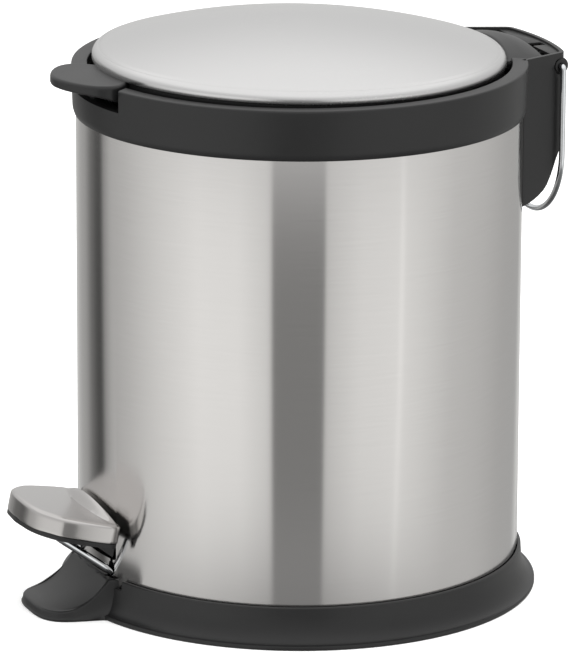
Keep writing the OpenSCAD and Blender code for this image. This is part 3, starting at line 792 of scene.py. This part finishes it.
def make_lid():
    """The steel dome: a crown, a rounded shoulder with a groove above it, and a rolled edge."""
    crown, shoulder, edge, dome_z = 320.0, 4.6, 94.8, 247.5
    c = edge - shoulder
    tilt = math.acos(c / (crown - shoulder))
    drop = (crown - shoulder) * math.sin(tilt)

    def side(inset):
        """From the middle to the edge, a distance inside the dome's outer face."""
        r, pts = crown - inset, []
        for i in range(61):
            a = math.pi / 2 - (math.pi / 2 - tilt) * i / 60
            pts.append((r * math.cos(a), dome_z - drop + r * math.sin(a)))
        for i in range(1, 17):
            a = tilt * (1 - i / 16)
            pts.append((c + (shoulder - inset) * math.cos(a), dome_z + (shoulder - inset) * math.sin(a)))
        return pts

    outer = side(0)
    groove = [(91.3, 0.0), (91.55, 0.22), (91.9, 0.28), (92.25, 0.22), (92.5, 0.0)]
    before = [p for p in outer if p[0] < 91.2]
    after = [p for p in outer if p[0] > 92.6]
    (r0, z0), (r1, z1) = before[-1], after[0]
    middle = [(r, z0 + (z1 - z0) * (r - r0) / (r1 - r0) + 0.12 - deep) for r, deep in groove]
    hem = [(edge, 246.2), (edge - 0.15, 245.75), (edge - 0.5, 245.55), (edge - 0.85, 245.75),
           (edge - 1.0, 246.2)]
    dome = lathe("lid_dome", before + middle + after + hem + side(1.0)[::-1], STEEL_LID, 360)
    placed(dome, lambda x, y, z: in_lid(x, y - 0.4, z))
    claim(dome, "lid", "brushed_steel", "lid_cap", angle=40)


# ---------------------------------------------------------------- the lid's frame


def tail_top(x, y):
    fall = max(0.0, y - 101.0)
    return 250.6 - x * x / 224.0 - 0.020 * fall * fall - 0.05 * fall


def make_tab():
    """The tab that lifts the lid, with its root under the dome's edge."""
    half = [(24.9, -97.6), (25.9, -100.5), (26.0, -103.6), (24.4, -108.0), (21.4, -111.6), (17.3, -114.6),
            (12.2, -117.2), (6.3, -119.2), (0.0, -120.0)]
    front = [(-19.0, -91.3), (-22.0, -94.4)] + even_line(half, 72) + [(22.0, -94.4), (19.0, -91.3)]
    back = [(-18.6 + 37.2 * i / (len(front) - 1), -91.0) for i in range(len(front))]

    def low(x, y):
        t = min(max((y + 116.0) / 17.0, 0.0), 1.0)
        return 241.3 - 3.4 * t * t

    tab = plate("tab", front, back, lambda x, y: 245.8, low, BLACK, rows=20, low_edge=0.9, high_edge=1.5)
    angles = [math.radians(a) for a in range(-14, 15, 2)]
    root = [(103 * math.sin(a), -103 * math.cos(a)) for a in angles] + [(18.4, -90.8), (-18.4, -90.8)]
    return join(tab, prism("root", root, 238.3, 244.6, BLACK))


def make_tail():
    """The lid's crowned tail, from the dome's edge back into the housing."""
    y1, gap, reach = 110.7, 3.1, 94.75
    w0, w1 = 33.2, house_side(y1 + 3.5) - gap
    corner = [(-w0, math.sqrt(reach ** 2 - w0 ** 2))]
    corner += [(-(house_side(y) - gap), y) for y in (97.5, 100.0, 102.5, 104.7)]
    rear = [(w1 * (-1 + i / 30), y1) for i in range(61)]
    outer = corner + rear + [(-x, y) for x, y in corner[::-1]]
    last = len(outer) - 1
    xs = [-w0 + 2 * w0 * i / last for i in range(last + 1)]
    inner = [(x, math.sqrt(reach ** 2 - x * x)) for x in xs]
    # The two lines must not share their end points
    inner[0], inner[-1] = (-w0 + 0.02, inner[0][1] - 0.02), (w0 - 0.02, inner[-1][1] - 0.02)
    return plate("tail", outer, inner, tail_top, lambda x, y: 241.6, BLACK,
                 rows=18, low_edge=0.4, high_edge=1.4)


def make_hinge():
    """The lid's three hinge barrels with their links, and the slotted crank the push rod lifts."""
    pieces = []
    for x0, x1 in ((-19.5, -10.5), (2.6, 8.4), (10.5, 19.5)):
        line = [(1.7, x0), (3.2, x0), (3.2, x1), (1.7, x1)]
        barrel = lathe("barrel", fillet(line, 0.25), BLACK, 48)
        pieces.append(placed(barrel, lambda x, y, z: (z, HINGE_Y + x, HINGE_Z + y)))
        tidy(barrel)
        link = rectangle(109.5, 115.2, 241.2, 243.5)
        pieces.append(prism("link", link, x0 + 0.4, x1 - 0.4, BLACK, side_on))
    sin, cos = math.sin(math.radians(42.7)), math.cos(math.radians(42.7))

    def hang(x, y, z):
        """From a prism with the pin at (0, 0) and the crank along x to the crank's slope."""
        return z, HINGE_Y - x * cos - y * sin, HINGE_Z - x * sin + y * cos

    blade = arc(24.3, 0, 4.9, -90, 90, 18) + [(3.6, 4.6), (3.6, -4.6)]
    crank = prism("crank", blade, 3.2, 7.8, BLACK, hang)
    slot = arc(24.3, 0, 2.75, -90, 90, 14) + arc(18, 0, 2.75, 90, 270, 14)
    cut(crank, prism("cut", slot, 0, 11, BLACK, hang))
    bevel(crank, 0.3, 2)
    return pieces + [crank]


def make_lid_frame():
    line = [(93.5, 240.5), (93.5, 245.6), (89.2, 245.6), (89.2, 243.4), (86.7, 243.4), (86.7, 241.9),
            (89.2, 241.9), (89.2, 240.5)]
    ring = lathe("lid_frame_moulding", fillet(line, 0.4), BLACK, 240)
    level = [make_tab(), make_tail()]
    for k in range(6):
        sin, cos = math.sin(math.radians(60 * k)), math.cos(math.radians(60 * k))
        level.append(prism("spoke", rectangle(20, 90, -1, 1), 243.7, 248.7, BLACK,
                           lambda x, y, z: (x * cos - y * sin, x * sin + y * cos, z)))
        bevel(level[-1], 0.3, 2)
    level.append(lathe("hub", fillet([(22, 243.7), (22, 248.7), (19, 248.7), (19, 243.7)], 0.3), BLACK, 96))
    for obj in (ring, *level):
        placed(obj, in_lid)
    join(ring, *level, *make_hinge())
    claim(ring, "lid", "black_plastic", "lid_frame")


# ---------------------------------------------------------------- pedal


TO_AXIS = 120.0  # from the pedal's origin back to the body's axis
PEDAL_FOLD, PEDAL_BACK = 110.4, 106.5  # radii round that axis: foot of the lip, and the back edge


def pedal_top(x, y):
    """Top of the pedal: a faint crown, and a lip that folds up along the back edge."""
    r = math.hypot(x, TO_AXIS - y)
    lip = max(5.4 - x * x / 165.0, 0.0)
    t = min(max((PEDAL_FOLD - r) / 3.0, 0.0), 1.0)
    return 8.8 + 0.5 * (1 - (x / 33.0) ** 2) + lip * math.sin(t * math.pi / 2)


def make_pedal():
    half = [(30.6, 18.4), (32.6, 16.0), (33.2, 12.6), (32.5, 6.0), (31.0, -1.0), (29.5, -5.6), (27.0, -10.2),
            (20.0, -16.6), (14.0, -18.9), (7.0, -19.9), (0.0, -20.1)]
    front = even_line(half, 96)
    n = len(front) - 1
    a0, a1 = [math.atan2(front[i][0], TO_AXIS - front[i][1]) for i in (0, n)]
    angles = [a0 + (a1 - a0) * i / n for i in range(n + 1)]
    back = [(PEDAL_BACK * math.sin(a), TO_AXIS - PEDAL_BACK * math.cos(a)) for a in angles]
    cap = plate("pedal_top", front, back, pedal_top, lambda x, y: 0.0, STEEL_PEDAL,
                rows=56, low_edge=0.3, high_edge=1.9, place=in_pedal)
    claim(cap, "pedal", "brushed_steel", "pedal_cap", angle=40)


# ---------------------------------------------------------------- wires

def make_handle():
    """The wire loop behind the housing: two legs and a half circle between them."""
    leg, reach, end = 33.3, 73.6, 28.2
    low = HINGE_Z - (reach - leg)
    loop = bend([(-end, HINGE_Y, HINGE_Z), (-leg, HINGE_Y, HINGE_Z), (-leg, HINGE_Y, low)], (0, 1.6, 0))
    loop += [(leg * math.cos(math.radians(a)), HINGE_Y, low + leg * math.sin(math.radians(a)))
             for a in range(185, 356, 5)]
    loop += bend([(leg, HINGE_Y, low), (leg, HINGE_Y, HINGE_Z), (end, HINGE_Y, HINGE_Z)], (0, 1.6, 0))
    handle = tube("rear_handle_wire", loop, 1.4, CHROME)
    claim(handle, "handle", "chrome", "rear_bail", angle=40)


def make_lever():
    """One closed loop: a bow in the pedal, down through the keyholes, and back under the bucket."""
    rise, run_z, bow_y = math.tan(math.radians(36.3)), 8.6, -126
    half = [(WIRE_X, 93, run_z), (WIRE_X, PIVOT_Y + (PIVOT_Z - run_z) / rise, run_z),
            (WIRE_X, bow_y, PIVOT_Z + (PIVOT_Y - bow_y) * rise), (16, -130.5, 43.2), (10, -134.3, 45.3)]
    route = half + [(-x, y, z) for x, y, z in half[::-1]]
    corners = [4, 5, 2.6, 2.6, 2.6]
    lever = tube("lever_wire", bend(route, corners + corners[::-1]), 1.75, CHROME, closed=True)
    claim(lever, "pedal", "chrome", "pedal_lever", angle=40)


make_body()
make_collar()
make_bushes()
make_base()
make_bucket()
make_lid()
make_lid_frame()
make_pedal()
make_handle()
make_lever()

# ---------------------------------------------------------------- finish of the parts kept from the frame

KEPT = {"rubber_feet": RUBBER, "axle_cap_left": BLACK, "axle_cap_right": BLACK, "cap_screws": ZINC,
        "housing_screws": ZINC, "hinge_pin": ZINC, "bucket_bail": CHROME, "lever_axle": CHROME,
        "pedal_shell": BLACK, "pedal_screws": ZINC, "push_rod": ZINC, "rod_clip": BLACK,
        "lid_liner": GREY, "lid_bumpers": RUBBER}


def finish_kept():
    for node, mat in KEPT.items():
        for obj in bpy.data.objects:
            if obj.type == "MESH" and (obj.name == node or obj.name.startswith(node + ".")):
                for slot in obj.material_slots:
                    slot.material = mat


finish_kept()

# ---------------------------------------------------------------- studio


BRIGHTEST = 1.3  # the ramps' colours are divided by it and the background's strength is multiplied
STUDIO_TURN = 23.0  # degrees from the world's axes to the middle of the strips below

# Round the studio: (angle from that middle in degrees, level)
STRIPS = [(-180, 0.70), (-165, 0.60), (-150, 0.45), (-142, 0.40), (-134, 0.20), (-126, 0.085),
          (-121.5, 0.08), (-118.5, 0.33), (-112, 0.54), (-98.6, 0.64), (-77, 0.86), (-52.6, 1.07),
          (-30.6, 1.05), (-15.8, 0.87), (-14.3, 0.80), (-12.9, 0.25), (12.7, 0.25), (13.9, 0.72),
          (18.8, 0.80), (32, 0.955), (52.6, 1.0), (54, 1.25), (55.2, 0.98), (66, 0.895), (86, 0.71),
          (109, 0.626), (130, 0.52), (155.5, 0.45), (164.6, 0.68), (180, 0.70)]
# From straight down to straight up: (sine of the height, level)
SKY = [(-1.0, 0.10), (-0.62, 0.22), (-0.40, 0.80), (0.20, 0.72), (0.42, 0.86), (0.65, 1.12), (1.0, 1.12)]


def studio_world():
    """Soft surroundings: strips of light round the horizon, an even sky, and dark straight below."""
    world = bpy.data.worlds.new("studio")
    bpy.context.scene.world = world
    world.use_nodes = True
    tree = world.node_tree
    back = tree.nodes["Background"]
    new, link = tree.nodes.new, tree.links.new

    def maths(operation, *values):
        node = new("ShaderNodeMath")
        node.operation = operation
        for socket, value in zip(node.inputs, values):
            if isinstance(value, float):
                socket.default_value = value
            else:
                link(value, socket)
        return node.outputs[0]

    def ranged(value, *bounds):
        node = new("ShaderNodeMapRange")
        link(value, node.inputs["Value"])
        for socket, x in zip(node.inputs[1:5], bounds):
            socket.default_value = x
        return node.outputs["Result"]

    def ramp(value, levels, blue):
        node = new("ShaderNodeValToRGB")
        link(value, node.inputs["Fac"])
        stops = node.color_ramp.elements
        while len(stops) < len(levels):
            stops.new(0.5)
        for stop, (place, level) in zip(stops, levels):
            stop.position = place
            stop.color = (level / BRIGHTEST, level / BRIGHTEST, level * blue / BRIGHTEST, 1)
        return node.outputs["Color"]

    def mix(factor, a, b):
        node = new("ShaderNodeMix")
        node.data_type = "RGBA"
        for socket, value in ((0, factor), (6, a), (7, b)):
            link(value, node.inputs[socket])
        return node.outputs[2]

    coords = new("ShaderNodeTexCoord")
    split = new("ShaderNodeSeparateXYZ")
    link(coords.outputs["Generated"], split.inputs[0])
    x, y, z = split.outputs
    turn = maths("MULTIPLY_ADD", maths("ARCTAN2", y, x), 1 / TAU, 0.5 + STUDIO_TURN / 360.0)
    strips = ramp(maths("FRACT", turn), [(0.5 + angle / 360.0, level) for angle, level in STRIPS], 0.985)
    sky = ramp(ranged(z, -1.0, 1.0, 0.0, 1.0), [((height + 1) / 2, level) for height, level in SKY], 0.995)
    above = mix(ranged(z, -0.05, 0.12, 0.0, 1.0), strips, sky)
    link(mix(ranged(z, -0.62, -0.46, 1.0, 0.0), above, sky), back.inputs["Color"])
    back.inputs["Strength"].default_value = BRIGHTEST


def studio_floor():
    """Pale paper a little below the can, with a faint glow that keeps it white."""
    n, half, drop, glow = 24, 6000.0, 0.1, 0.22
    verts = [(half * (2 * i / n - 1), half * (2 * j / n - 1), 0.0)
             for j in range(n + 1) for i in range(n + 1)]
    corners = [j * (n + 1) + i for j in range(n) for i in range(n)]
    faces = [(a, a + 1, a + n + 2, a + n + 1) for a in corners]
    paper = moulded("paper", (0.93, 0.93, 0.93), (0.95, 0.95, 0.95), (0.8, 0.9), grain=400, bump=0.02)
    shader = paper.node_tree.nodes["Principled BSDF"].inputs
    shader["Emission Color"].default_value = (1, 1, 1, 1)
    shader["Emission Strength"].default_value = glow
    floor = new_object("floor", verts, faces, paper)
    for v in floor.data.vertices:
        v.co.z = -drop * MM
    floor.visible_glossy = False


def area_light(name, place, aim, size, watts):
    """A soft light that the steel does not mirror."""
    data = bpy.data.lights.new(name, "AREA")
    data.shape, data.size, data.size_y, data.energy = "RECTANGLE", size[0], size[1], watts
    lamp = bpy.data.objects.new(name, data)
    bpy.context.scene.collection.objects.link(lamp)
    lamp.location = place
    lamp.rotation_euler = (Vector(aim) - Vector(place)).to_track_quat("-Z", "Y").to_euler()
    lamp.visible_glossy = False


studio_world()
studio_floor()
area_light("overhead", (0.2, 0.3, 1.7), (0, 0, 0.1), (1.6, 1.6), 22)
area_light("left_front", (0.2, -1.6, 1.0), (0, 0, 0.1), (1.0, 1.2), 8)
bpy.context.scene.view_settings.view_transform = "Standard"
